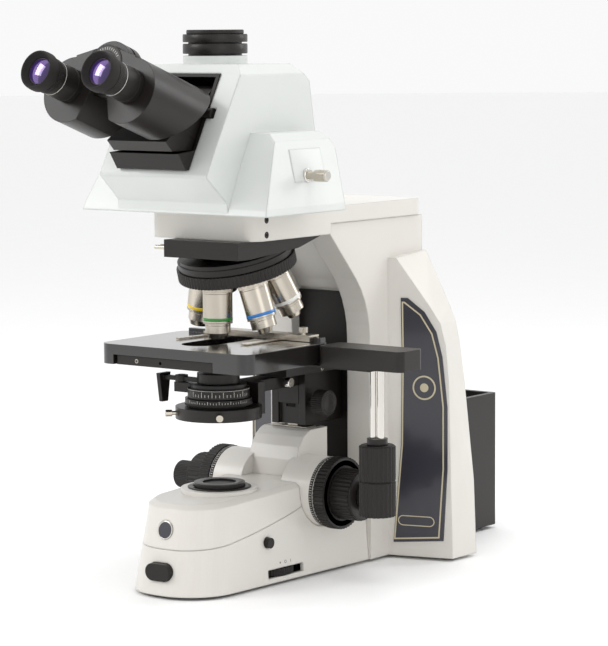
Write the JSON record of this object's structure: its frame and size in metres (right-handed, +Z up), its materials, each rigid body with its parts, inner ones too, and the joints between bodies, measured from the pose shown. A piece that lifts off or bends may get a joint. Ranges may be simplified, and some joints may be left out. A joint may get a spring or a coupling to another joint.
{
  "type": "upright microscope",
  "caption": "Upright trinocular research microscope with a tilting binocular head, rotating nosepiece, mechanical stage, condenser and coaxial focus drive.",
  "frame": {"origin": "on the optical axis, at the underside of the base plate's level projected to the table: z = 0 is the table", "axes": "+Z up along the optical axis, +Y to the rear (away from the user), +X to the user's right"},
  "size_m": [0.311, 0.59, 0.5109],
  "materials": {
    "stand_paint": "semi-gloss warm white powder coat on die-cast aluminium",
    "head_paint": "semi-gloss cool white powder coat on die-cast aluminium",
    "black_paint": "satin black paint on aluminium",
    "black_plastic": "fine textured black",
    "gloss_black": "glossy black hard coating",
    "panel": "blue-grey with a beige outline",
    "nickel": "satin nickel",
    "steel": "turned",
    "rubber": "matt",
    "glass": "coated",
    "mirror": "front-silvered"
  },
  "bodies": {
    "stand": {"base_casting": "stand_paint", "base_cover": "stand_paint", "base_plate": "black_paint", "rubber_feet": "rubber", "focus_column": "stand_paint", "arm_casting": "stand_paint", "upper_arm": "stand_paint", "side_panels": "panel", "badges": "steel", "recess_liner": "black_plastic", "lamp_house": "black_paint", "lamp_module": "steel", "mains_inlet": "black_plastic", "relay_mirror": "mirror", "field_lens": "glass", "illuminator_collar": "black_paint", "nosepiece_holder": "black_paint", "head_housing": "head_paint", "camera_port": "black_paint", "port_cap": "black_plastic", "mouth_bezel": "black_plastic"},
    "field_diaphragm": {"field_ring": "black_paint"},
    "dimmer": {"dimmer_wheel": "black_plastic"},
    "front_key": {"front_button": "black_plastic"},
    "side_key": {"side_button": "black_plastic"},
    "coarse": {"coarse_shaft": "steel", "coarse_knobs": "black_plastic"},
    "fine": {"fine_spindle": "black_plastic"},
    "tension": {"tension_ring": "black_plastic"},
    "stop": {"stop_ring": "black_plastic"},
    "carriage": {"focus_post": "steel"},
    "fine_stage": {"focusing_block": "black_paint", "stage_lower_plate": "black_paint", "xy_gearbox": "black_paint"},
    "y_stage": {"stage_top_plate": "gloss_black"},
    "x_slide": {"specimen_holder": "nickel"},
    "finger": {"clip_finger": "nickel"},
    "x_drive": {"x_knob": "black_plastic"},
    "y_drive": {"y_knob": "black_plastic"},
    "condenser": {"condenser_holder": "black_paint", "condenser_body": "black_paint", "centring_screws": "nickel"},
    "iris": {"iris_ring": "black_paint"},
    "top_lens": {"swing_lens": "black_paint"},
    "condenser_drive": {"condenser_knob": "black_plastic"},
    "nosepiece": {"turret": "black_paint", "objective_green": "nickel", "objective_yellow": "nickel", "objective_blue": "nickel", "objective_white": "nickel", "objective_red": "black_paint"},
    "analyser": {"nosepiece_slider": "nickel"},
    "eyepiece_tilt": {"binocular_body": "black_paint"},
    "left_tube": {"left_prism_arm": "black_paint", "left_eyepiece": "black_plastic"},
    "right_tube": {"right_prism_arm": "black_paint", "right_eyepiece": "black_plastic"},
    "left_cup": {"left_eyecup": "rubber"},
    "right_cup": {"right_eyecup": "rubber"},
    "splitter": {"splitter_rod": "nickel"}
  },
  "joints": [
    {"name": "coarse_slide", "type": "slide", "parent": "stand", "child": "carriage", "axis": [0, 0, 1], "range_m": [-0.02, 0.001]},
    {"name": "coarse_spin", "type": "hinge", "parent": "stand", "child": "coarse", "pos_m": [0, 0.0932, 0.0779], "axis": [1, 0, 0], "range_deg": [-192, 11]},
    {"name": "fine_slide", "type": "slide", "parent": "carriage", "child": "fine_stage", "axis": [0, 0, 1], "range_m": [-0.001, 0.001]},
    {"name": "fine_spin", "type": "hinge", "parent": "stand", "child": "fine", "pos_m": [0, 0.0932, 0.0779], "axis": [1, 0, 0], "range_deg": [-1810, 1810]},
    {"name": "tension_turn", "type": "hinge", "parent": "stand", "child": "tension", "pos_m": [0, 0.0932, 0.0779], "axis": [1, 0, 0], "range_deg": [-45, 45]},
    {"name": "stop_turn", "type": "hinge", "parent": "stand", "child": "stop", "pos_m": [0, 0.0932, 0.0779], "axis": [1, 0, 0], "range_deg": [-45, 45]},
    {"name": "field_turn", "type": "hinge", "parent": "stand", "child": "field_diaphragm", "pos_m": [0, 0, 0.09], "axis": [0, 0, 1], "range_deg": [-30, 60]},
    {"name": "dimmer_turn", "type": "hinge", "parent": "stand", "child": "dimmer", "pos_m": [0.0276, 0.0315, 0.0117], "axis": [0, 0, 1], "range_deg": [-140, 140]},
    {"name": "front_press", "type": "slide", "parent": "stand", "child": "front_key", "axis": [0, 1, 0], "range_m": [0, 0.003], "stiffness_N_per_m": 600, "springref_m": -0.001},
    {"name": "side_press", "type": "slide", "parent": "stand", "child": "side_key", "axis": [-1, 0, 0], "range_m": [0, 0.0025], "stiffness_N_per_m": 600, "springref_m": -0.001},
    {"name": "stage_y", "type": "slide", "parent": "fine_stage", "child": "y_stage", "axis": [0, 1, 0], "range_m": [-0.024, 0.024]},
    {"name": "y_knob_turn", "type": "hinge", "parent": "fine_stage", "child": "y_drive", "pos_m": [0.15, 0.042, 0.12], "axis": [0, 0, 1], "range_deg": [-350, 350]},
    {"name": "stage_x", "type": "slide", "parent": "y_stage", "child": "x_slide", "axis": [1, 0, 0], "range_m": [-0.038, 0.038]},
    {"name": "x_knob_turn", "type": "hinge", "parent": "fine_stage", "child": "x_drive", "pos_m": [0.15, 0.042, 0.09], "axis": [0, 0, 1], "range_deg": [-550, 550]},
    {"name": "finger_swing", "type": "hinge", "parent": "x_slide", "child": "finger", "pos_m": [-0.034, 0.034, 0.2269], "axis": [0, 0, 1], "range_deg": [-35, 0], "stiffness_Nm_per_rad": 0.02, "springref_deg": 5.73},
    {"name": "condenser_slide", "type": "slide", "parent": "fine_stage", "child": "condenser", "axis": [0, 0, 1], "range_m": [-0.02, 0]},
    {"name": "condenser_turn", "type": "hinge", "parent": "fine_stage", "child": "condenser_drive", "pos_m": [0.035, 0.1144, 0.158], "axis": [1, 0, 0], "range_deg": [-2, 193]},
    {"name": "iris_turn", "type": "hinge", "parent": "condenser", "child": "iris", "pos_m": [0, 0, 0.17], "axis": [0, 0, 1], "range_deg": [-40, 40]},
    {"name": "top_lens_swing", "type": "hinge", "parent": "condenser", "child": "top_lens", "pos_m": [-0.034, -0.012, 0.19], "axis": [0, 0, -1], "range_deg": [0, 70]},
    {"name": "nosepiece_turn", "type": "hinge", "parent": "stand", "child": "nosepiece", "pos_m": [0, 0.03045, 0.28745], "axis": [0, 0.2672, -0.9636], "continuous": true},
    {"name": "analyser_slide", "type": "slide", "parent": "stand", "child": "analyser", "axis": [-1, 0, 0], "range_m": [0, 0.02]},
    {"name": "tilt", "type": "hinge", "parent": "stand", "child": "eyepiece_tilt", "pos_m": [0, -0.06, 0.437], "axis": [-1, 0, 0], "range_deg": [0, 20]},
    {"name": "left_swing", "type": "hinge", "parent": "eyepiece_tilt", "child": "left_tube", "pos_m": [0, -0.14043, 0.47554], "axis": [0, 0.9426, -0.3338], "range_deg": [-11, 20.8]},
    {"name": "right_swing", "type": "hinge", "parent": "eyepiece_tilt", "child": "right_tube", "pos_m": [0, -0.14043, 0.47554], "axis": [0, 0.9426, -0.3338], "range_deg": [-20.8, 11]},
    {"name": "left_diopter", "type": "hinge", "parent": "left_tube", "child": "left_cup", "pos_m": [-0.0347, -0.203, 0.4786], "axis": [0, 0.9426, -0.3338], "range_deg": [-160, 160]},
    {"name": "right_diopter", "type": "hinge", "parent": "right_tube", "child": "right_cup", "pos_m": [0.0347, -0.203, 0.4786], "axis": [0, 0.9426, -0.3338], "range_deg": [-160, 160]},
    {"name": "splitter_pull", "type": "slide", "parent": "stand", "child": "splitter", "axis": [1, 0, 0], "range_m": [0, 0.02]}
  ],
  "couplings": [
    {"joint": "coarse_spin", "follows": "coarse_slide", "rad_per_m": 166.67},
    {"joint": "fine_spin", "follows": "fine_slide", "rad_per_m": 31416},
    {"joint": "y_knob_turn", "follows": "stage_y", "rad_per_m": 251.33},
    {"joint": "x_knob_turn", "follows": "stage_x", "rad_per_m": -251.33},
    {"joint": "condenser_turn", "follows": "condenser_slide", "rad_per_m": -166.67},
    {"joint": "left_swing", "follows": "right_swing", "ratio": -1}
  ]
}
